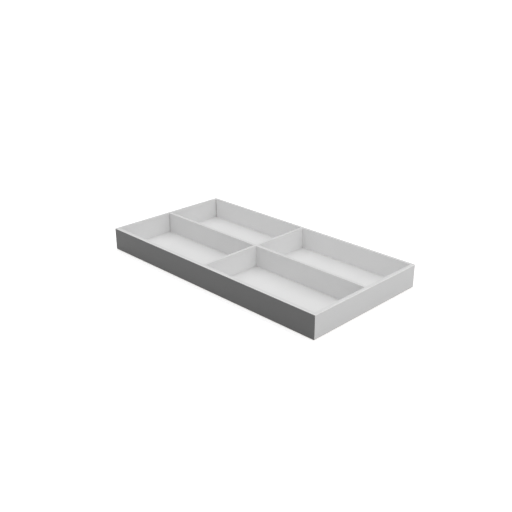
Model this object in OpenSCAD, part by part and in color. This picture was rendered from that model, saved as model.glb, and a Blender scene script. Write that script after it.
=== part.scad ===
// Drawer organizer insert: a shallow tray of four mitred boards with a base panel pinned into
// a rebate, and two dividers that cross in a halving joint and lift out.
// +Z is up. The origin is on the surface that the tray stands on, under its middle.
// The long wall with the dark facing is at -Y. Corners and walls count anticlockwise
// from the front left corner: front, right, back, left.

/* [Tray] */
// Length over the two end walls
tray_length = 600; // [400:10:800]
// Width over the two long walls and the facing
tray_width = 310; // [220:5:420]
// Height of the tray from the underside of its walls to its rim
tray_height = 50.5; // [40:0.5:80]
// Thickness of the four wall boards
wall_t = 7; // [6:0.5:12]
// How far the inner end of each mitre is cut back, so that its outer edge closes tight
mitre_undercut = 0.5; // [0:0.1:1.2]

/* [Finish] */
// Thickness of the dark facing on the front wall
facing_t = 0.8; // [0.5:0.1:1.5]
// Thickness of the band on every top edge
band_t = 1; // [0.5:0.1:2]

/* [Base] */
// Thickness of the base panel
base_t = 3; // [2:0.5:4]
// How far the base panel is let into the wall boards
rebate_w = 3.5; // [3:0.25:4]
// Gap between the edges of the base panel and the rebate
base_gap = 0.25; // [0.1:0.05:0.5]
// Thickness of the anti-slip pads under the base
pad_t = 1; // [0.5:0.1:2]
// Diameter of the anti-slip pads
pad_d = 20; // [10:1:30]
// Distance from the outside of the tray to the middle of each pad
pad_inset = 45; // [25:1:80]

/* [Dividers] */
// Thickness of both dividers
divider_t = 7; // [4:0.5:9]
// Depth of the groove in each end wall that takes the long divider
groove_depth = 3; // [2:0.25:3.5]
// Gap on each side of the long divider in its grooves
groove_slack = 0.6; // [0.3:0.1:1.2]
// Gap between each end of the long divider and the bottom of its groove
groove_end_gap = 0.4; // [0.2:0.1:1]
// Gap between each end of the cross divider and the long wall that it meets
cross_end_gap = 0.15; // [0.1:0.05:0.5]
// Gap on each side of a divider in the other one's notch
notch_gap = 0.1; // [0.05:0.05:0.5]

/* [Corner splines and base pins] */
// Thickness of the loose spline in each corner
spline_t = 2; // [1.5:0.1:2.5]
// Width of the spline across the mitre
spline_w = 7; // [5:0.5:7.5]
// Gap between the spline's long edges and the ends of its slot
spline_gap = 0.25; // [0.1:0.05:0.5]
// Diameter of the base pins
pin_d = 1.4; // [1:0.1:1.6]
// Length of the base pins over the head
pin_length = 15; // [10:1:25]
// Diameter of the pin heads
pin_head_d = 2.8; // [2:0.1:3]
// Thickness of the pin heads
pin_head_t = 0.6; // [0.4:0.1:1]
// Number of pins along each long wall
pins_per_side = 6; // [3:1:10]
// Number of pins along each end wall, even so that the groove stays clear
pins_per_end = 4; // [2:2:6]

/* [Hidden] */
$fn = 48;

// Colours of the finishes
board_grey = [0.84, 0.84, 0.84];
band_grey = [0.88, 0.88, 0.88];
facing_grey = [0.33, 0.33, 0.33];
raw_board = [0.55, 0.42, 0.3];
pad_black = [0.12, 0.12, 0.12];

// Heights
floor_top = pad_t + base_t;
rim_top = pad_t + tray_height;
board_top = rim_top - band_t;
halving_z = (floor_top + rim_top) / 2;

// Half sizes and the lines of the wall faces
half_l = tray_length / 2;
half_w = tray_width / 2;
board_front = -half_w + facing_t;
inner_x = half_l - wall_t;
inner_front = board_front + wall_t;
inner_back = half_w - wall_t;
mid_y = (inner_front + inner_back) / 2;
rebate_gauge = rebate_w / 2;

// Corners in plan: of the whole tray, of the boards behind the facing, and of the inside
outer_corners = corners(half_l, -half_w, half_w);
board_corners = corners(half_l, board_front, half_w);
inner_corners = corners(inner_x, inner_front, inner_back);
pad_centres = corners(half_l - pad_inset, pad_inset - half_w, half_w - pad_inset);

// Half length of the long divider, length of the cross divider, and width of their notches
long_half = inner_x + groove_depth - groove_end_gap;
cross_length = inner_back - inner_front - 2 * cross_end_gap;
notch_w = divider_t + 2 * notch_gap;

// Play around a pin in its hole, and the distance that a cut runs past a face
pin_play = 0.05;
past = 1;

// The four corners of a rectangle that is centred on X = 0
function corners(x, y_low, y_high) = [[-x, y_low], [x, y_low], [x, y_high], [-x, y_high]];

// Direction in which a wall runs from its first corner to its second
function run(side) = [[1, 0], [0, 1], [-1, 0], [0, -1]][side];

// Evenly spaced places along a span, half a space from each end
function spread(count, span) = [for (i = [0:count - 1]) ((i + 0.5) / count - 0.5) * span];

// Plan of one side of a mitred frame, with its inner ends cut back
module frame_side(outer, inner, side, undercut) {
    next = (side + 1) % 4;
    cut = run(side) * undercut;
    polygon([outer[side], outer[next], inner[next] - cut, inner[side] + cut]);
}

// The rebate that the base panel lies in
module base_seat() {
    low = [-inner_x - rebate_w, inner_front - rebate_w, pad_t - past];
    size = [2 * (inner_x + rebate_w), inner_back - inner_front + 2 * rebate_w, base_t + past];
    translate(low) cube(size);
}

// The grooves in the end walls, open at the rim, that the long divider slides in
module divider_grooves() {
    width = divider_t + 2 * groove_slack;
    height = rim_top - floor_top + past;
    for (end = [-1, 1])
        translate([end * (inner_x + (groove_depth - past) / 2), mid_y, floor_top + height / 2])
            cube([groove_depth + past, width, height], center = true);
}

// One spline or its slot: it crosses the mitre at a right angle, nearer to the inside
module spline_shape(corner, gap, height) {
    diagonal = board_corners[corner] - inner_corners[corner];
    spline_place = 0.64 * norm(diagonal);
    translate([board_corners[corner][0], board_corners[corner][1], floor_top])
        rotate(atan2(diagonal[1], diagonal[0]))
            translate([-spline_place - spline_t / 2, -spline_w / 2 - gap, 0])
                cube([spline_t, spline_w + 2 * gap, height]);
}

module spline_slots() {
    for (corner = [0:3])
        spline_shape(corner, spline_gap, board_top - floor_top + past);
}

module spline(corner) {
    color(raw_board) spline_shape(corner, 0, board_top - floor_top - past);
}

// A pin, head down, or the hole for it
module pin_shape(play) {
    cylinder(d = pin_d + 2 * play, h = pin_length + play);
    translate([0, 0, -play]) cylinder(d = pin_head_d + 2 * play, h = pin_head_t + play);
}

// Puts a pin in every place along the four walls, in the middle of the rebate
module at_pins() {
    for (x = spread(pins_per_side, 2 * inner_x))
        for (y = [inner_front - rebate_gauge, inner_back + rebate_gauge])
            translate([x, y, pad_t]) children();
    for (y = spread(pins_per_end, inner_back - inner_front))
        for (x = [-1, 1] * (inner_x + rebate_gauge))
            translate([x, mid_y + y, pad_t]) children();
}

module wall(side) {
    color(board_grey) difference() {
        translate([0, 0, pad_t])
            linear_extrude(board_top - pad_t)
                frame_side(board_corners, inner_corners, side, mitre_undercut);
        base_seat();
        divider_grooves();
        spline_slots();
        at_pins() pin_shape(pin_play);
    }
}

module edge_band(side) {
    color(band_grey) difference() {
        translate([0, 0, board_top])
            linear_extrude(band_t)
                frame_side(outer_corners, inner_corners, side, 0);
        divider_grooves();
    }
}

module front_facing() {
    color(facing_grey)
        translate([-half_l, -half_w, pad_t])
            cube([tray_length, facing_t, board_top - pad_t]);
}

module base_panel() {
    reach = rebate_w - base_gap;
    color(board_grey) difference() {
        translate([-inner_x - reach, inner_front - reach, pad_t])
            cube([2 * (inner_x + reach), inner_back - inner_front + 2 * reach, base_t]);
        at_pins() pin_shape(pin_play);
    }
}

module base_pins() {
    color("silver") at_pins() pin_shape(0);
}

module pad(corner) {
    color(pad_black)
        translate([pad_centres[corner][0], pad_centres[corner][1], 0])
            cylinder(d = pad_d, h = pad_t);
}

module long_divider() {
    color(board_grey) difference() {
        translate([-long_half, mid_y - divider_t / 2, floor_top])
            cube([2 * long_half, divider_t, board_top - floor_top]);
        translate([-notch_w / 2, mid_y - divider_t / 2 - past, halving_z])
            cube([notch_w, divider_t + 2 * past, tray_height]);
    }
}

module long_divider_band(end) {
    length = long_half - notch_w / 2;
    color(band_grey)
        translate([end * (long_half + notch_w / 2) / 2, mid_y, (board_top + rim_top) / 2])
            cube([length, divider_t, band_t], center = true);
}

module cross_divider() {
    color(board_grey) difference() {
        translate([-divider_t / 2, inner_front + cross_end_gap, floor_top])
            cube([divider_t, cross_length, board_top - floor_top]);
        translate([-divider_t / 2 - past, mid_y - notch_w / 2, floor_top - past])
            cube([divider_t + 2 * past, notch_w, halving_z - floor_top + past + notch_gap]);
    }
}

module cross_divider_band() {
    color(band_grey)
        translate([-divider_t / 2, inner_front + cross_end_gap, board_top])
            cube([divider_t, cross_length, band_t]);
}

wall(0);  // front_wall
wall(1);  // right_wall
wall(2);  // back_wall
wall(3);  // left_wall
front_facing();
spline(0);  // spline_front_left
spline(1);  // spline_front_right
spline(2);  // spline_back_right
spline(3);  // spline_back_left
edge_band(0);  // front_edge_band
edge_band(1);  // right_edge_band
edge_band(2);  // back_edge_band
edge_band(3);  // left_edge_band
base_panel();
base_pins();
pad(0);  // pad_front_left
pad(1);  // pad_front_right
pad(2);  // pad_back_right
pad(3);  // pad_back_left
long_divider();
long_divider_band(-1);  // long_divider_band_left
long_divider_band(1);  // long_divider_band_right
cross_divider();
cross_divider_band();
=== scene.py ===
"""A drawer organizer insert in light grey faced board, with a dark faced front wall.

The tray is four mitred boards with a rounded band on every top edge, a thin base panel pinned
into a rebate, and two dividers that cross in a halving joint and lift out. Sizes are in metres.
"""

import math

import bpy
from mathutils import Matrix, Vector


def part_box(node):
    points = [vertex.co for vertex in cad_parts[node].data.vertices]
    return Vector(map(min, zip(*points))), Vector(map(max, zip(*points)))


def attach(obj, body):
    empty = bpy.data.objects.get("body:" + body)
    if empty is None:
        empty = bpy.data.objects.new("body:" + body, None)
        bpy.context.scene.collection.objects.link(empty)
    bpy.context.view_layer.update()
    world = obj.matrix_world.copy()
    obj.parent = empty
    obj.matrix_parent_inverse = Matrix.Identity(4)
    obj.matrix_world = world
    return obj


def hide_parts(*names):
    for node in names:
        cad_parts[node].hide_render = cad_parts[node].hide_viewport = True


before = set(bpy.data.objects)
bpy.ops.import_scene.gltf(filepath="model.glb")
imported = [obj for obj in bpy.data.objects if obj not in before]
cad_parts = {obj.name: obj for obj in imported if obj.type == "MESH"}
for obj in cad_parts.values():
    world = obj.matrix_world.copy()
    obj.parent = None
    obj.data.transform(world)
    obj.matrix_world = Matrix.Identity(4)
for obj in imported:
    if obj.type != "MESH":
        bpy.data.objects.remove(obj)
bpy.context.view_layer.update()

MM = 0.001
HALF = 0.5

# How much each kind of edge is eased or rounded, and in how many steps
BAND_ROUND = 0.5 * MM
BAND_SEAM = 0.12 * MM
BOARD_EASE = 0.3 * MM
GROOVE_EASE = 0.15 * MM
FACING_EASE = 0.25 * MM
BASE_EASE = 0.3 * MM
SPLINE_EASE = 0.3 * MM
SEAM_STEPS = 1
FINE_STEPS = 2
EASE_STEPS = 3
ROUND_STEPS = 4
ROUND_PROFILE = 0.5

# The grooves: how near to the middle of an end wall they are, and taller than what
GROOVE_REACH = 10 * MM
GROOVE_HEIGHT = 20 * MM

# The skins: how deep below a broad face they go, and how far a face has to lean to take one
SKIN_DEPTH = 0.75 * MM
FACES_FRONT = -0.3
FACES_UP = 0.7
FACES_DOWN = -0.3

# The pads and the rings in them
PAD_EASE = 0.3 * MM
PAD_STEPS = 4
PAD_SIDES = 64
RING_COUNT = 2
RING_SPACE = 1.6 * MM
RING_WIDTH = 0.9 * MM
RING_SLOPE = 0.2 * MM
RING_DEPTH = 0.2 * MM

# The base pins
PINS_PER_SIDE = 6
PINS_PER_END = 4
PIN_SIDES = 20
PIN_HEAD = 2.8 * MM
PIN_SHANK = 1.4 * MM
PIN_HEAD_THICK = 0.6 * MM
PIN_HEAD_EASE = 0.15 * MM
PIN_POINT = 1.6 * MM
PIN_POINT_SHARE = 0.15

# Bench tolerances, and the angles up to which each kind of piece is shaded smooth
MERGE = 0.002 * MM
CLOSE = 0.02 * MM
FLAT_ANGLE = math.radians(0.5)
BOARD_SMOOTH = math.radians(35)
PAD_SMOOTH = math.radians(50)
PIN_SMOOTH = math.radians(40)
FLAT_FACE_WEIGHT = 100
QUARTER_TURN = math.radians(90)

# The lines of the tray that pieces and materials are set out from
floor_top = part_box("base_panel")[1].z
rim_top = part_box("front_edge_band")[1].z
inner_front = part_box("front_wall")[1].y
inner_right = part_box("right_wall")[0].x
inner_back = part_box("back_wall")[0].y
inner_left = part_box("left_wall")[1].x
divider_low, divider_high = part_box("long_divider")
divider_half = (divider_high.y - divider_low.y) / 2
divider_line = (divider_high.y + divider_low.y) / 2

TRAY, LONG, CROSS = "tray", "long_divider", "cross_divider"
AXIS_X, AXIS_Y, AXIS_Z = 0, 1, 2


# ---------------------------------------------------------------- bench work

def pick_only(piece):
    """Makes one piece the active and only selected object."""
    bpy.ops.object.select_all(action="DESELECT")
    piece.select_set(True)
    bpy.context.view_layer.objects.active = piece


def edit(piece, kind="EDGE"):
    """Opens a piece in edit mode, with what its mesh has marked as selected."""
    pick_only(piece)
    bpy.context.tool_settings.mesh_select_mode = (kind == "VERT", kind == "EDGE", kind == "FACE")
    bpy.ops.object.mode_set(mode="EDIT")


def done():
    bpy.ops.object.mode_set(mode="OBJECT")


def unmark(mesh):
    for items in (mesh.vertices, mesh.edges, mesh.polygons):
        items.foreach_set("select", [False] * len(items))


def mark_edges(piece, wanted):
    """Marks the edges whose two ends pass a test, and nothing else. Returns how many."""
    mesh = piece.data
    unmark(mesh)
    found = 0
    for edge in mesh.edges:
        start, end = (mesh.vertices[i].co for i in edge.vertices)
        if wanted(start, end):
            edge.select = True
            found += 1
    return found


def near(a, b):
    return abs(a - b) < CLOSE


def along(axis, start, end):
    """True if an edge runs along an axis."""
    return all(near(start[i], end[i]) for i in (AXIS_X, AXIS_Y, AXIS_Z) if i != axis)


def on_plane(axis, value, start, end):
    return near(start[axis], value) and near(end[axis], value)


def cross_axis(axis):
    """The other one of X and Y."""
    return AXIS_X + AXIS_Y - axis


def outer_side(low, high, axis):
    """Where a wall's outer face is on an axis: the side that is farther from the middle."""
    return low[axis] if abs(low[axis]) > abs(high[axis]) else high[axis]


def blank_from(node, name):
    """A new piece cut to the shape of a CAD node, its triangles merged back into whole faces."""
    piece = bpy.data.objects.new(name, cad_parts[node].data.copy())
    bpy.context.scene.collection.objects.link(piece)
    piece.data.materials.clear()
    edit(piece)
    bpy.ops.mesh.select_all(action="SELECT")
    bpy.ops.mesh.remove_doubles(threshold=MERGE)
    bpy.ops.mesh.customdata_custom_splitnormals_clear()
    bpy.ops.mesh.dissolve_limited(angle_limit=FLAT_ANGLE)
    done()
    return piece


def ease(piece, wanted, size, steps=EASE_STEPS):
    """Rounds over the edges that pass a test."""
    if not mark_edges(piece, wanted):
        return
    edit(piece)
    bpy.ops.mesh.bevel(
        offset=size, segments=steps, profile=ROUND_PROFILE, affect="EDGES", clamp_overlap=True)
    done()


def turned(name, profile, sides):
    """A solid turned about the Z axis, from (radius, height) pairs from one end to the other."""
    radius, height = profile[0]
    bpy.ops.object.select_all(action="DESELECT")
    bpy.ops.mesh.primitive_circle_add(
        vertices=sides, radius=radius, location=(0, 0, 0), fill_type="NGON")
    piece = bpy.context.active_object
    piece.name = name
    edit(piece, "FACE")
    bpy.ops.mesh.select_all(action="SELECT")
    bpy.ops.transform.translate(value=(0, 0, height))
    for next_radius, next_height in profile[1:]:
        rise = (0, 0, next_height - height)
        bpy.ops.mesh.extrude_region_move(TRANSFORM_OT_translate={"value": rise})
        share = next_radius / radius
        bpy.ops.transform.resize(value=(share, share, 1.0))
        radius, height = next_radius, next_height
    bpy.ops.mesh.select_all(action="SELECT")
    bpy.ops.mesh.normals_make_consistent(inside=False)
    done()
    return piece


def copy_at(pattern, name, place):
    """A copy of a pattern piece with its own mesh, moved to a place, its origin at the tray's."""
    piece = pattern.copy()
    piece.data = pattern.data.copy()
    piece.name = name
    bpy.context.scene.collection.objects.link(piece)
    piece.location = place
    pick_only(piece)
    bpy.ops.object.transform_apply(location=True, rotation=True, scale=True)
    return piece


def paint(piece, materials, choose=None):
    """Gives a piece its materials; choose takes a face's centre and normal and picks one."""
    for material in materials:
        piece.data.materials.append(material)
    if choose:
        for face in piece.data.polygons:
            face.material_index = choose(face.center, face.normal)


def smooth(piece, angle=BOARD_SMOOTH):
    """Smooth shading that keeps the broad faces flat."""
    pick_only(piece)
    bpy.ops.object.shade_smooth_by_angle(angle=angle)
    weighted = piece.modifiers.new("flat_faces", "WEIGHTED_NORMAL")
    weighted.keep_sharp = True
    weighted.weight = FLAT_FACE_WEIGHT
    bpy.ops.object.modifier_apply(modifier=weighted.name)


def hand_over(piece, body, slot, *nodes):
    """Fixes a finished piece to its body, in place of the CAD nodes that it stands for."""
    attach(piece, body)
    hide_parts(*nodes)


# ---------------------------------------------------------------- node helpers

def link(tree, source, target):
    tree.links.new(source, target)


def feed(tree, socket, value):
    """Links a socket to another one, or sets it to a plain value."""
    if isinstance(value, bpy.types.NodeSocket):
        link(tree, value, socket)
    else:
        socket.default_value = value


def add(tree, kind, **settings):
    node = tree.nodes.new(kind)
    for name, value in settings.items():
        setattr(node, name, value)
    return node


def math_node(tree, operation, *inputs):
    """A Math node; each input is a socket or a number. Returns its result."""
    node = add(tree, "ShaderNodeMath", operation=operation)
    for socket, value in zip(node.inputs, inputs):
        feed(tree, socket, value)
    return node.outputs[0]


def raised(tree, base, by, where):
    """A value that is raised by an amount where a mask is 1."""
    return math_node(tree, "MULTIPLY_ADD", where, by, base)


def faint(tree, mask, most):
    """A mask brought down, so that it is most where it was 1."""
    return math_node(tree, "MULTIPLY", mask, most)


def ramp(tree, value, low, high):
    """Brings a value smoothly from 0 at low to 1 at high."""
    node = add(tree, "ShaderNodeMapRange", interpolation_type="SMOOTHSTEP")
    link(tree, value, node.inputs["Value"])
    feed(tree, node.inputs["From Min"], low)
    feed(tree, node.inputs["From Max"], high)
    return node.outputs["Result"]


def blend_colour(tree, factor, first, second):
    """The first colour, turning into the second where the factor is 1."""
    node = add(tree, "ShaderNodeMix", data_type="RGBA")
    colours = [socket for socket in node.inputs if socket.type == "RGBA"]
    feed(tree, node.inputs[0], factor)
    feed(tree, colours[0], first)
    feed(tree, colours[1], second)
    return next(socket for socket in node.outputs if socket.type == "RGBA")


def noise(tree, vector, scale, detail=3.0, roughness=0.55):
    node = add(tree, "ShaderNodeTexNoise")
    link(tree, vector, node.inputs["Vector"])
    feed(tree, node.inputs["Scale"], scale)
    node.inputs["Detail"].default_value = detail
    node.inputs["Roughness"].default_value = roughness
    return node.outputs["Fac"]


def stretched(tree, vector, scale, turn=0.0):
    """Stretches a pattern: a small scale on an axis draws it out along that axis."""
    node = add(tree, "ShaderNodeMapping")
    link(tree, vector, node.inputs["Vector"])
    node.inputs["Scale"].default_value = scale
    node.inputs["Rotation"].default_value = (0, 0, turn)
    return node.outputs["Vector"]


def split(tree, vector):
    """The X, Y and Z of a vector."""
    node = add(tree, "ShaderNodeSeparateXYZ")
    link(tree, vector, node.inputs[0])
    return node.outputs


def new_group(name, inputs, outputs):
    """A shader node group with named sockets. Returns the tree, its inputs and its outputs."""
    kinds = {"value": "NodeSocketFloat", "vector": "NodeSocketVector", "colour": "NodeSocketColor"}
    tree = bpy.data.node_groups.new(name, "ShaderNodeTree")
    for socket, kind in inputs.items():
        tree.interface.new_socket(socket, in_out="INPUT", socket_type=kinds[kind])
    for socket, kind in outputs.items():
        tree.interface.new_socket(socket, in_out="OUTPUT", socket_type=kinds[kind])
    return tree, add(tree, "NodeGroupInput").outputs, add(tree, "NodeGroupOutput").inputs


# ---------------------------------------------------------------- shared effects

NOISE_MEAN = 0.5
PEBBLE_SOFTNESS = 0.8
PEBBLE_FINENESS = 2.3
PEBBLE_FINE_SHARE = 0.45
SPECK_SCALE = 1400.0
CLOUD_GLOSS = 0.16
RUB_PATCH_SCALE = 55.0
SCUFF_STROKES = ((0.3, 14.0), (-0.9, 18.0), (1.4, 11.0))
SCUFF_AREA_SCALE = 9.0
FIBRE_SPECK_SCALE = 900.0
FIBRE_BAND_SCALE = 160.0
FIBRE_DRAW = (1.0, 1.0, 4.0)
SCREEN_ROUGH_SCALE = 700.0


def pebble_group():
    """The fine pebbled press pattern of melamine board, as a height from 0 to 1."""
    inputs = {"Vector": "vector", "Scale": "value"}
    tree, given, out = new_group("pebble", inputs, {"Height": "value"})
    cells = add(tree, "ShaderNodeTexVoronoi", feature="SMOOTH_F1")
    link(tree, given["Vector"], cells.inputs["Vector"])
    link(tree, given["Scale"], cells.inputs["Scale"])
    cells.inputs["Smoothness"].default_value = PEBBLE_SOFTNESS
    finer = math_node(tree, "MULTIPLY", given["Scale"], PEBBLE_FINENESS)
    fine = noise(tree, given["Vector"], finer, detail=2.0)
    link(tree, raised(tree, cells.outputs["Distance"], PEBBLE_FINE_SHARE, fine), out["Height"])
    return tree


def mottle_group():
    """Slow clouds and fine specks in a colour, and a matching change of roughness."""
    tree, given, out = new_group(
        "mottle",
        {"Vector": "vector", "Scale": "value", "Color": "colour", "Amount": "value",
         "Specks": "value", "Roughness": "value"},
        {"Color": "colour", "Roughness": "value"})
    clouds = noise(tree, given["Vector"], given["Scale"], detail=4.0, roughness=0.6)
    specks = noise(tree, given["Vector"], SPECK_SCALE, detail=3.0, roughness=0.7)
    cloud = math_node(tree, "SUBTRACT", clouds, NOISE_MEAN)
    speck = math_node(tree, "SUBTRACT", specks, NOISE_MEAN)
    cloudy = raised(tree, 1.0, given["Amount"], cloud)
    shade = add(tree, "ShaderNodeVectorMath", operation="SCALE")
    link(tree, given["Color"], shade.inputs[0])
    link(tree, raised(tree, cloudy, given["Specks"], speck), shade.inputs["Scale"])
    link(tree, shade.outputs[0], out["Color"])
    link(tree, raised(tree, given["Roughness"], CLOUD_GLOSS, cloud), out["Roughness"])
    return tree


def edge_rub_group():
    """How much a point is rubbed because it is near an edge of its board, from 0 to 1.

    The distance to an edge is the middle one of the three distances from Place to the faces of
    the box from Low to High. Vector only places the patches.
    """
    tree, given, out = new_group(
        "edge_rub",
        {"Vector": "vector", "Place": "vector", "Low": "vector", "High": "vector",
         "Width": "value"},
        {"Rub": "value"})
    place = split(tree, given["Place"])
    low = split(tree, given["Low"])
    high = split(tree, given["High"])
    gaps = []
    for i in (AXIS_X, AXIS_Y, AXIS_Z):
        from_low = math_node(tree, "SUBTRACT", place[i], low[i])
        from_high = math_node(tree, "SUBTRACT", high[i], place[i])
        gaps.append(math_node(tree, "MINIMUM", from_low, from_high))
    smaller = math_node(tree, "MINIMUM", gaps[0], gaps[1])
    larger = math_node(tree, "MAXIMUM", gaps[0], gaps[1])
    middle = math_node(tree, "MAXIMUM", smaller, math_node(tree, "MINIMUM", larger, gaps[2]))
    patches = noise(tree, given["Vector"], RUB_PATCH_SCALE, detail=5.0, roughness=0.7)
    patchy = math_node(tree, "DIVIDE", patches, NOISE_MEAN)
    reach = math_node(tree, "MULTIPLY", given["Width"], patchy)
    link(tree, math_node(tree, "SUBTRACT", 1.0, ramp(tree, middle, 0.0, reach)), out["Rub"])
    return tree


def scuff_group():
    """Faint scuffs left by things that slide about, as a mask from 0 to 1."""
    inputs = {"Vector": "vector", "Scale": "value"}
    tree, given, out = new_group("scuffs", inputs, {"Scuffs": "value"})
    strokes = []
    for turn, squeeze in SCUFF_STROKES:
        drawn = stretched(tree, given["Vector"], (1.0, squeeze, 1.0), turn)
        streaks = noise(tree, drawn, given["Scale"], detail=2.0, roughness=0.5)
        strokes.append(ramp(tree, streaks, low=0.66, high=0.72))
    first_two = math_node(tree, "MAXIMUM", strokes[0], strokes[1])
    total = math_node(tree, "MAXIMUM", first_two, strokes[2])
    where = noise(tree, given["Vector"], SCUFF_AREA_SCALE, detail=2.0)
    areas = ramp(tree, where, low=0.45, high=0.7)
    link(tree, math_node(tree, "MULTIPLY", total, areas), out["Scuffs"])
    return tree


def fibre_group():
    """Raw fibreboard: fine pale and dark fibres, as a colour and a height."""
    tree, given, out = new_group(
        "fibres", {"Vector": "vector", "Pale": "colour", "Dark": "colour"},
        {"Color": "colour", "Height": "value"})
    specks = noise(tree, given["Vector"], FIBRE_SPECK_SCALE, detail=6.0, roughness=0.75)
    drawn = stretched(tree, given["Vector"], FIBRE_DRAW)
    bands = noise(tree, drawn, FIBRE_BAND_SCALE, detail=4.0, roughness=0.6)
    mixed = math_node(tree, "MULTIPLY", math_node(tree, "ADD", bands, specks), HALF)
    shade = ramp(tree, mixed, low=0.35, high=0.65)
    link(tree, blend_colour(tree, shade, given["Dark"], given["Pale"]), out["Color"])
    link(tree, mixed, out["Height"])
    return tree


def screen_group():
    """The woven screen print on the back of pressed hardboard, as a height from 0 up."""
    inputs = {"Vector": "vector", "Pitch": "value"}
    tree, given, out = new_group("screen_print", inputs, {"Height": "value"})
    place = split(tree, given["Vector"])
    waves = []
    for i in (AXIS_X, AXIS_Y):
        turns = math_node(tree, "DIVIDE", place[i], given["Pitch"])
        waves.append(math_node(tree, "SINE", math_node(tree, "MULTIPLY", turns, math.tau)))
    woven = math_node(tree, "MULTIPLY", waves[0], waves[1])
    weave = raised(tree, HALF, by=HALF, where=woven)
    rough = noise(tree, given["Vector"], SCREEN_ROUGH_SCALE, detail=4.0, roughness=0.7)
    link(tree, raised(tree, weave, by=HALF, where=rough), out["Height"])
    return tree


PEBBLE = pebble_group()
MOTTLE = mottle_group()
EDGE_RUB = edge_rub_group()
SCUFFS = scuff_group()
FIBRES = fibre_group()
SCREEN = screen_group()


# ---------------------------------------------------------------- finishes

def grey(value):
    return (value, value, value, 1)


# Painted light and shade: the grey is lighter or darker board by board, and darker on outer faces
INNER_GREY_PAINTED_LIGHT = {
    "front_wall": grey(0.82),
    "right_wall": grey(0.82),
    "back_wall": grey(0.83),
    "left_wall": grey(0.835),
    "long_divider": grey(0.762),
    "cross_divider": grey(0.87),
}
# Painted shade: the outer faces take a darker copy of the light grey
OUTER_GREY_PAINTED_SHADE = grey(0.515)
LACQUER_GREY = grey(0.805)
BAND_GREY = grey(0.745)
DARK_GREY = grey(0.083)
RUBBED_PALE = (0.86, 0.86, 0.85, 1)
RUBBED_DARK = grey(0.19)
WALL_FOOT_GREY = (0.50, 0.497, 0.49, 1)
SCUFFED_GREY = grey(0.6)
FIBRE_PALE = (0.36, 0.27, 0.185, 1)
FIBRE_DARK = (0.22, 0.155, 0.10, 1)
HARDBOARD_PALE = (0.21, 0.125, 0.07, 1)
HARDBOARD_DARK = (0.115, 0.065, 0.035, 1)
HARDBOARD_DUST = (0.33, 0.25, 0.17, 1)
CORE_BLACK = (0.035, 0.03, 0.027, 1)
CORE_BROWN = (0.07, 0.055, 0.045, 1)
RUBBER_BLACK = (0.022, 0.022, 0.023, 1)
RUBBER_DUST = (0.09, 0.088, 0.085, 1)
STEEL_GREY = (0.56, 0.55, 0.53, 1)
STEEL_TARNISH = (0.30, 0.26, 0.21, 1)

# Gloss of each finish, as the roughness of its shader
MELAMINE_ROUGH = 0.46
LACQUER_ROUGH = 0.5
LAMINATE_ROUGH = 0.42
BAND_ROUGH = 0.38
FIBRE_ROUGH = 0.75
HARDBOARD_ROUGH = 0.6
CORE_ROUGH = 0.45
STEEL_ROUGH = 0.28
RUBBER_ROUGH = 0.8
MELAMINE_IOR = 1.48
FIBRE_SPECULAR = 0.25
HARDBOARD_SPECULAR = 0.3
RUBBER_SPECULAR = 0.35

# Widths of worn edges and of the darker band at the wall feet, and the pitch of the screen print
BOARD_RUB = 1.6 * MM
BAND_RUB = 0.7 * MM
WALL_FOOT_WIDTH = 13 * MM
WALL_FOOT_STOP = 0.4 * MM
WALL_FOOT_START = 0.2 * MM
SCREEN_PITCH = 1.6 * MM

# How the drawn band and the layered core of the laminate squeeze their patterns
BAND_DRAW = (0.25, 0.25, 1.0)
CORE_LAYERS = (1.0, 30.0, 1.0)


def new_material(name):
    """A material with only a Principled shader: it, its tree, the shader, Object coordinates."""
    material = bpy.data.materials.new(name)
    material.use_nodes = True
    tree = material.node_tree
    tree.nodes.clear()
    shader = add(tree, "ShaderNodeBsdfPrincipled")
    link(tree, shader.outputs[0], add(tree, "ShaderNodeOutputMaterial").inputs["Surface"])
    return material, tree, shader, add(tree, "ShaderNodeTexCoord").outputs["Object"]


def use_group(tree, group, **inputs):
    """Places a shared effect in a material; each input is a socket or a value."""
    node = add(tree, "ShaderNodeGroup", node_tree=group)
    for name, value in inputs.items():
        feed(tree, node.inputs[name], value)
    return node.outputs


def bump(tree, shader, height, depth):
    node = add(tree, "ShaderNodeBump")
    node.inputs["Strength"].default_value = 1.0
    node.inputs["Distance"].default_value = depth
    link(tree, height, node.inputs["Height"])
    link(tree, node.outputs["Normal"], shader.inputs["Normal"])


def wall_foot_darkening(tree, place):
    """The floor is darker along the foot of the walls and dividers, but not under the dividers."""
    centred = add(tree, "ShaderNodeVectorMath", operation="SUBTRACT")
    link(tree, place, centred.inputs[0])
    centred.inputs[1].default_value = (0, divider_line, 0)
    folded = add(tree, "ShaderNodeVectorMath", operation="ABSOLUTE")
    link(tree, centred.outputs[0], folded.inputs[0])
    low = (divider_half, divider_half, floor_top)
    high = (inner_right, inner_back - divider_line, rim_top)
    greying = use_group(
        tree, EDGE_RUB, Vector=place, Place=folded.outputs[0],
        Low=low, High=high, Width=WALL_FOOT_WIDTH)["Rub"]
    parts = split(tree, folded.outputs[0])
    nearest = math_node(tree, "MINIMUM", parts[0], parts[1])
    clear = ramp(tree, nearest, divider_half - WALL_FOOT_STOP, divider_half + WALL_FOOT_START)
    return math_node(tree, "MULTIPLY", greying, clear)


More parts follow.
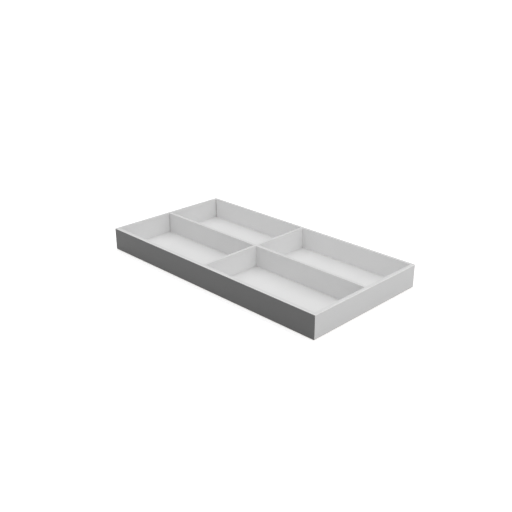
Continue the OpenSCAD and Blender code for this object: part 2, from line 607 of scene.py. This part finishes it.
def faced_board(
        name, low, high, colour, rubbed=RUBBED_PALE, roughness=MELAMINE_ROUGH, used_floor=False):
    """Pressed decor paper on board: pebbled, faintly cloudy and specked, rubbed at its edges.

    A used floor is also darker and rougher along the foot of the walls, and has faint scuffs.
    """
    material, tree, shader, place = new_material(name)
    shader.inputs["IOR"].default_value = MELAMINE_IOR
    tone = use_group(
        tree, MOTTLE, Vector=place, Scale=14.0, Color=colour, Amount=0.06, Specks=0.07,
        Roughness=roughness)
    rub = use_group(
        tree, EDGE_RUB, Vector=place, Place=place, Low=low, High=high, Width=BOARD_RUB)["Rub"]
    surface = blend_colour(tree, faint(tree, rub, most=0.6), tone["Color"], rubbed)
    gloss = raised(tree, tone["Roughness"], by=0.12, where=rub)
    if used_floor:
        # The floor is darker and rougher in a band along the foot of the walls and dividers
        greying = wall_foot_darkening(tree, place)
        surface = blend_colour(tree, faint(tree, greying, most=0.2), surface, WALL_FOOT_GREY)
        gloss = raised(tree, gloss, by=0.2, where=greying)
        scuffs = use_group(tree, SCUFFS, Vector=place, Scale=60.0)["Scuffs"]
        surface = blend_colour(tree, faint(tree, scuffs, most=0.08), surface, SCUFFED_GREY)
        gloss = raised(tree, gloss, by=0.18, where=scuffs)
    link(tree, surface, shader.inputs["Base Color"])
    link(tree, gloss, shader.inputs["Roughness"])
    pebbles = use_group(tree, PEBBLE, Vector=place, Scale=950.0)["Height"]
    bump(tree, shader, pebbles, depth=0.055 * MM)
    return material


def raw_board(name, pale, dark):
    """The cut core of fibreboard."""
    material, tree, shader, place = new_material(name)
    shader.inputs["Specular IOR Level"].default_value = FIBRE_SPECULAR
    fibres = use_group(tree, FIBRES, Vector=place, Pale=pale, Dark=dark)
    link(tree, fibres["Color"], shader.inputs["Base Color"])
    gloss = raised(tree, FIBRE_ROUGH, by=0.15, where=fibres["Height"])
    link(tree, gloss, shader.inputs["Roughness"])
    bump(tree, shader, fibres["Height"], depth=0.08 * MM)
    return material


def hardboard_back(name):
    """The brown back of the base panel, with its screen print and dusty high spots."""
    material, tree, shader, place = new_material(name)
    shader.inputs["Specular IOR Level"].default_value = HARDBOARD_SPECULAR
    fibres = use_group(tree, FIBRES, Vector=place, Pale=HARDBOARD_PALE, Dark=HARDBOARD_DARK)
    print_height = use_group(tree, SCREEN, Vector=place, Pitch=SCREEN_PITCH)["Height"]
    high_spots = ramp(tree, print_height, low=0.5, high=1.3)
    dusty = blend_colour(tree, faint(tree, high_spots, most=0.3), fibres["Color"], HARDBOARD_DUST)
    link(tree, dusty, shader.inputs["Base Color"])
    gloss = raised(tree, HARDBOARD_ROUGH, by=0.15, where=high_spots)
    link(tree, gloss, shader.inputs["Roughness"])
    bump(tree, shader, print_height, depth=0.18 * MM)
    return material


def band_plastic(name, low, high):
    """Light plastic edge band: nearly smooth, a little shinier than the board."""
    material, tree, shader, place = new_material(name)
    tone = use_group(
        tree, MOTTLE, Vector=place, Scale=22.0, Color=BAND_GREY, Amount=0.045, Specks=0.04,
        Roughness=BAND_ROUGH)
    rub = use_group(
        tree, EDGE_RUB, Vector=place, Place=place, Low=low, High=high, Width=BAND_RUB)["Rub"]
    rubbed = blend_colour(tree, faint(tree, rub, most=0.3), tone["Color"], RUBBED_PALE)
    scuffs = use_group(tree, SCUFFS, Vector=place, Scale=90.0)["Scuffs"]
    scuffed = blend_colour(tree, faint(tree, scuffs, most=0.08), rubbed, SCUFFED_GREY)
    link(tree, scuffed, shader.inputs["Base Color"])
    gloss = raised(tree, tone["Roughness"], by=0.1, where=rub)
    link(tree, raised(tree, gloss, by=0.15, where=scuffs), shader.inputs["Roughness"])
    drawn = stretched(tree, place, BAND_DRAW)
    bump(tree, shader, noise(tree, drawn, scale=1500.0), depth=0.02 * MM)
    return material


def core_plastic(name):
    """The dark resin core that shows on the cut edges of the facing."""
    material, tree, shader, place = new_material(name)
    layers = noise(tree, stretched(tree, place, CORE_LAYERS), scale=300.0)
    link(tree, blend_colour(tree, layers, CORE_BLACK, CORE_BROWN), shader.inputs["Base Color"])
    link(tree, raised(tree, CORE_ROUGH, by=0.2, where=layers), shader.inputs["Roughness"])
    return material


def pin_wire(name):
    """Bright drawn steel with a little tarnish."""
    material, tree, shader, place = new_material(name)
    shader.inputs["Metallic"].default_value = 1.0
    tarnish = ramp(
        tree, noise(tree, place, scale=420.0, detail=4.0, roughness=0.65), low=0.5, high=0.72)
    link(tree, blend_colour(tree, tarnish, STEEL_GREY, STEEL_TARNISH), shader.inputs["Base Color"])
    link(tree, raised(tree, STEEL_ROUGH, by=0.3, where=tarnish), shader.inputs["Roughness"])
    bump(tree, shader, noise(tree, place, scale=1800.0), depth=0.02 * MM)
    return material


def foam_rubber(name):
    """Closed-cell foam rubber."""
    material, tree, shader, place = new_material(name)
    shader.inputs["Specular IOR Level"].default_value = RUBBER_SPECULAR
    cells = use_group(tree, PEBBLE, Vector=place, Scale=1900.0)["Height"]
    greying = ramp(tree, noise(tree, place, scale=260.0, detail=4.0), low=0.5, high=0.75)
    dusty = blend_colour(tree, faint(tree, greying, most=0.35), RUBBER_BLACK, RUBBER_DUST)
    link(tree, dusty, shader.inputs["Base Color"])
    link(tree, raised(tree, RUBBER_ROUGH, by=0.1, where=greying), shader.inputs["Roughness"])
    bump(tree, shader, cells, depth=0.08 * MM)
    return material


RAW_BOARD = raw_board("raw_fibreboard", FIBRE_PALE, FIBRE_DARK)
RAW_HARDBOARD = raw_board("raw_hardboard", HARDBOARD_PALE, HARDBOARD_DARK)


# ---------------------------------------------------------------- the tray

def skin_or_core(axis, inner, outer):
    """Picks a face's finish: the inner skin, the outer skin or the core, by where it is."""
    def choose(centre, _normal):
        if abs(centre[axis] - inner) < SKIN_DEPTH:
            return 0
        return 1 if abs(centre[axis] - outer) < SKIN_DEPTH else 2
    return choose


def make_wall(node, axis):
    """One wall board, eased along its foot, its groove mouth and its outer corners."""
    low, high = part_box(node)
    piece = blank_from(node, node + "_board")
    outer = outer_side(low, high, axis)
    inner = low[axis] + high[axis] - outer
    run = cross_axis(axis)

    def foot_or_mitre_tip(start, end):
        foot = along(run, start, end) and on_plane(AXIS_Z, low.z, start, end)
        return (foot or along(AXIS_Z, start, end)) and on_plane(axis, outer, start, end)

    def groove_mouth(start, end):
        middle = (start[run] + end[run]) / 2
        return (along(AXIS_Z, start, end) and on_plane(axis, inner, start, end)
                and abs(middle) < GROOVE_REACH and abs(start.z - end.z) > GROOVE_HEIGHT)

    ease(piece, foot_or_mitre_tip, BOARD_EASE)
    ease(piece, groove_mouth, GROOVE_EASE, FINE_STEPS)
    # The outer skin is the light melamine in a darker grey, as painted shade
    skins = [
        faced_board(node + "_inner_melamine_painted_light", low, high, INNER_GREY_PAINTED_LIGHT[node]),
        faced_board(node + "_outer_melamine_painted_shade", low, high, OUTER_GREY_PAINTED_SHADE),
        RAW_BOARD]
    paint(piece, skins, skin_or_core(axis, inner, outer))
    smooth(piece)
    hand_over(piece, TRAY, "light_board", node)


def make_wall_band(node, axis):
    """The band on top of a wall, rounded over on both sides, with a fine seam at its mitres."""
    low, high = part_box(node)
    piece = blank_from(node, node + "_strip")
    outer = outer_side(low, high, axis)
    run = cross_axis(axis)

    def shoulder_or_mitre_tip(start, end):
        if along(AXIS_Z, start, end):
            return on_plane(axis, outer, start, end)
        side = on_plane(axis, low[axis], start, end) or on_plane(axis, high[axis], start, end)
        return side and along(run, start, end) and on_plane(AXIS_Z, high.z, start, end)

    def mitre_line(start, end):
        square = along(run, start, end) or along(axis, start, end)
        return on_plane(AXIS_Z, high.z, start, end) and not square

    ease(piece, shoulder_or_mitre_tip, BAND_ROUND, ROUND_STEPS)
    ease(piece, mitre_line, BAND_SEAM, SEAM_STEPS)
    paint(piece, [band_plastic(node + "_plastic", low, high)])
    smooth(piece)
    hand_over(piece, TRAY, "edge_band", node)


def make_facing():
    """The dark laminate on the front wall, with its resin core on the cut edges."""
    node = "front_facing"
    low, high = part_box(node)
    piece = blank_from(node, "front_facing_sheet")

    def border(start, end):
        return on_plane(AXIS_Y, low.y, start, end) and not on_plane(AXIS_Z, high.z, start, end)

    def choose(_centre, normal):
        return 0 if normal.y < FACES_FRONT else 1

    ease(piece, border, FACING_EASE, FINE_STEPS)
    dark = faced_board("dark_laminate", low, high, DARK_GREY, RUBBED_DARK, LAMINATE_ROUGH)
    paint(piece, [dark, core_plastic("laminate_core")], choose)
    smooth(piece)
    hand_over(piece, TRAY, "dark_facing", node)


def make_base_panel():
    """Thin hardboard: lacquered on top, raw and screen printed underneath."""
    node = "base_panel"
    low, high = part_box(node)
    piece = blank_from(node, "base_panel_sheet")

    def lower_edge(start, end):
        at_side = any(
            on_plane(i, value, start, end)
            for i in (AXIS_X, AXIS_Y) for value in (low[i], high[i]))
        return on_plane(AXIS_Z, low.z, start, end) and at_side

    def choose(_centre, normal):
        if normal.z > FACES_UP:
            return 0
        return 1 if normal.z < FACES_DOWN else 2

    ease(piece, lower_edge, BASE_EASE, FINE_STEPS)
    top = faced_board(
        "floor_lacquer", low, high, LACQUER_GREY, roughness=LACQUER_ROUGH, used_floor=True)
    paint(piece, [top, hardboard_back("hardboard_screen_back"), RAW_HARDBOARD], choose)
    smooth(piece)
    hand_over(piece, TRAY, "base_board", node)


def make_splines():
    """The four loose splines, with their sharp edges taken off so that they slide in."""
    for node in (
            "spline_front_left", "spline_front_right", "spline_back_right", "spline_back_left"):
        piece = blank_from(node, node + "_strip")
        ease(piece, lambda start, end: along(AXIS_Z, start, end), SPLINE_EASE, FINE_STEPS)
        paint(piece, [RAW_HARDBOARD])
        smooth(piece)
        hand_over(piece, TRAY, "raw_wood", node)


def pad_profile(radius, low_z, high_z):
    """Half of a pad's section: its side, its rounded edge and the rings pressed into its face."""
    profile = [(radius, high_z)]
    for i in range(PAD_STEPS + 1):
        angle = QUARTER_TURN * i / PAD_STEPS
        profile.append((
            radius - PAD_EASE * (1 - math.cos(angle)),
            low_z + PAD_EASE * (1 - math.sin(angle))))
    reach = radius - PAD_EASE
    for _ring in range(RING_COUNT):
        for step, depth in (
                (RING_SPACE, 0), (RING_SLOPE, RING_DEPTH), (RING_WIDTH, RING_DEPTH),
                (RING_SLOPE, 0)):
            reach -= step
            profile.append((reach, low_z + depth))
    return profile


def make_pads():
    """Four foam pads, all turned to one pattern."""
    low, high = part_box("pad_front_left")
    radius = (high.x - low.x) / 2
    pattern = turned("pad_pattern", pad_profile(radius, low.z, high.z), PAD_SIDES)
    paint(pattern, [foam_rubber("pad_foam")])
    smooth(pattern, PAD_SMOOTH)
    for node in ("pad_front_left", "pad_front_right", "pad_back_right", "pad_back_left"):
        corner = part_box(node)[0]
        piece = copy_at(pattern, node + "_foam", (corner.x + radius, corner.y + radius, 0))
        hand_over(piece, TRAY, "pad_rubber", node)
    bpy.data.objects.remove(pattern)


def spread(count, low, high):
    """Evenly spaced places between two ends, half a space from each."""
    return [low + (high - low) * (i + HALF) / count for i in range(count)]


def pin_places():
    """Where the base pins stand: in the middle of the rebate, along all four walls."""
    low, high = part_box("base_pins")
    head = PIN_HEAD / 2
    rows_x = (low.x + head, high.x - head)
    rows_y = (low.y + head, high.y - head)
    places = [(x, y) for x in spread(PINS_PER_SIDE, inner_left, inner_right) for y in rows_y]
    places += [(x, y) for y in spread(PINS_PER_END, inner_front, inner_back) for x in rows_x]
    return places


def make_pins():
    """The base pins: drawn wire with a flat head and a cut point, all turned to one pattern."""
    low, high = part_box("base_pins")
    head, shank = PIN_HEAD / 2, PIN_SHANK / 2
    profile = [
        (head - PIN_HEAD_EASE, low.z),
        (head, low.z + PIN_HEAD_EASE),
        (head, low.z + PIN_HEAD_THICK),
        (shank, low.z + PIN_HEAD_THICK),
        (shank, high.z - PIN_POINT),
        (shank * PIN_POINT_SHARE, high.z),
    ]
    pattern = turned("pin_pattern", profile, PIN_SIDES)
    pins = [copy_at(pattern, "base_pin", (x, y, 0)) for x, y in pin_places()]
    bpy.data.objects.remove(pattern)
    pick_only(pins[0])
    for pin in pins:
        pin.select_set(True)
    bpy.ops.object.join()
    joined = bpy.context.active_object
    joined.name = "base_pins_set"
    paint(joined, [pin_wire("pin_steel")])
    smooth(joined, PIN_SMOOTH)
    hand_over(joined, TRAY, "pin_steel", "base_pins")


# ---------------------------------------------------------------- the dividers

def make_divider(node, axis, body, in_grooves):
    """A divider board; axis is the one across its thickness.

    Its foot is eased, and so are its ends where they slide in grooves. Ends that meet a wall
    stay square.
    """
    low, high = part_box(node)
    run = cross_axis(axis)
    piece = blank_from(node, node + "_board")

    def slides(start, end):
        at_end = on_plane(run, low[run], start, end) or on_plane(run, high[run], start, end)
        foot = along(run, start, end) and on_plane(AXIS_Z, low.z, start, end)
        return foot or (in_grooves and at_end and along(AXIS_Z, start, end))

    ease(piece, slides, BOARD_EASE)
    # Painted light and shade: the cross divider's grey is lighter, the long divider's darker
    skin = faced_board(node + "_melamine", low, high, INNER_GREY_PAINTED_LIGHT[node])
    paint(piece, [skin, skin, RAW_BOARD], skin_or_core(axis, low[axis], high[axis]))
    smooth(piece)
    hand_over(piece, body, "light_board", node)


def make_divider_band(node, axis, body):
    """The band on top of a divider, rounded over along both sides and trimmed square."""
    low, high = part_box(node)
    run = cross_axis(axis)
    piece = blank_from(node, node + "_strip")

    def shoulder(start, end):
        return along(run, start, end) and on_plane(AXIS_Z, high.z, start, end)

    ease(piece, shoulder, BAND_ROUND, ROUND_STEPS)
    paint(piece, [band_plastic(node + "_plastic", low, high)])
    smooth(piece)
    hand_over(piece, body, "edge_band", node)


for wall, across in (("front", AXIS_Y), ("right", AXIS_X), ("back", AXIS_Y), ("left", AXIS_X)):
    make_wall(wall + "_wall", across)
    make_wall_band(wall + "_edge_band", across)
make_facing()
make_base_panel()
make_splines()
make_pads()
make_pins()
make_divider("long_divider", AXIS_Y, LONG, in_grooves=True)
make_divider_band("long_divider_band_left", AXIS_Y, LONG)
make_divider_band("long_divider_band_right", AXIS_Y, LONG)
make_divider("cross_divider", AXIS_X, CROSS, in_grooves=False)
make_divider_band("cross_divider_band", AXIS_X, CROSS)


# ---------------------------------------------------------------- floor, light and camera

FLOOR_SIZE = 400.0
FLOOR_WHITE = grey(0.93)
FLOOR_ROUGH = 0.9
FLOOR_GLOW_NEAR = grey(0.42)
FLOOR_GLOW_FAR = grey(0.85)
FLOOR_GLOW_FADE = (0.9, 3.0)

SKY_STRENGTH = 0.455
OVERHEAD_PLACE = (0, 0, 2.4)
OVERHEAD_SIZE = 5.0
OVERHEAD_POWER = 60.7
SIDE_PLACE = (2.5, 0, 1.6)
SIDE_SIZE = 2.0
SIDE_POWER = 6.0

CAMERA_AZIMUTH = math.radians(45.0)
CAMERA_ELEVATION = math.radians(23.06)
CAMERA_DISTANCE = 1.546
CAMERA_LENS = 50.15
CAMERA_SENSOR = 36.0
CAMERA_AIM_HEIGHT = 26 * MM


def make_floor():
    """A plain pale floor that runs out of sight, lit through from below like a light table."""
    bpy.ops.object.select_all(action="DESELECT")
    bpy.ops.mesh.primitive_plane_add(size=FLOOR_SIZE, location=(0, 0, 0))
    floor = bpy.context.active_object
    floor.name = "studio_floor"
    material, tree, shader, place = new_material("studio_floor_paint")
    distance = add(tree, "ShaderNodeVectorMath", operation="LENGTH")
    link(tree, place, distance.inputs[0])
    far = ramp(tree, distance.outputs["Value"], *FLOOR_GLOW_FADE)
    glow = blend_colour(tree, far, FLOOR_GLOW_NEAR, FLOOR_GLOW_FAR)
    link(tree, glow, shader.inputs["Emission Color"])
    shader.inputs["Emission Strength"].default_value = 1.0
    shader.inputs["Base Color"].default_value = FLOOR_WHITE
    shader.inputs["Roughness"].default_value = FLOOR_ROUGH
    shader.inputs["Specular IOR Level"].default_value = 0.0
    floor.data.materials.append(material)


def make_light(name, place, size, power):
    """A large square soft box that points at the tray."""
    data = bpy.data.lights.new(name, "AREA")
    data.shape = "SQUARE"
    data.size = size
    data.energy = power
    light = bpy.data.objects.new(name, data)
    bpy.context.scene.collection.objects.link(light)
    light.location = place
    light.rotation_euler = (-Vector(place)).to_track_quat("-Z", "Y").to_euler()


def make_sky(strength):
    """A white backdrop all round, which lights the tray less than it looks."""
    world = bpy.data.worlds.new("studio_sky")
    world.use_nodes = True
    tree = world.node_tree
    background = tree.nodes["Background"]
    background.inputs["Color"].default_value = grey(1)
    seen = add(tree, "ShaderNodeLightPath").outputs["Is Camera Ray"]
    link(tree, raised(tree, strength, by=1 - strength, where=seen), background.inputs["Strength"])
    bpy.context.scene.world = world


def make_camera():
    """The camera looks down at the middle of the tray's walls, from the front right."""
    middle = Vector((0, 0, CAMERA_AIM_HEIGHT))
    back = Vector((
        math.sin(CAMERA_AZIMUTH) * math.cos(CAMERA_ELEVATION),
        -math.cos(CAMERA_AZIMUTH) * math.cos(CAMERA_ELEVATION),
        math.sin(CAMERA_ELEVATION)))
    data = bpy.data.cameras.new("camera")
    data.lens = CAMERA_LENS
    data.sensor_width = CAMERA_SENSOR
    camera = bpy.data.objects.new("camera", data)
    bpy.context.scene.collection.objects.link(camera)
    camera.location = middle + back * CAMERA_DISTANCE
    camera.rotation_euler = (-back).to_track_quat("-Z", "Y").to_euler()
    bpy.context.scene.camera = camera


make_floor()
make_sky(SKY_STRENGTH)
make_light("overhead_soft_box", OVERHEAD_PLACE, OVERHEAD_SIZE, OVERHEAD_POWER)
make_light("right_soft_box", SIDE_PLACE, SIDE_SIZE, SIDE_POWER)
make_camera()
bpy.context.scene.view_settings.view_transform = "Standard"
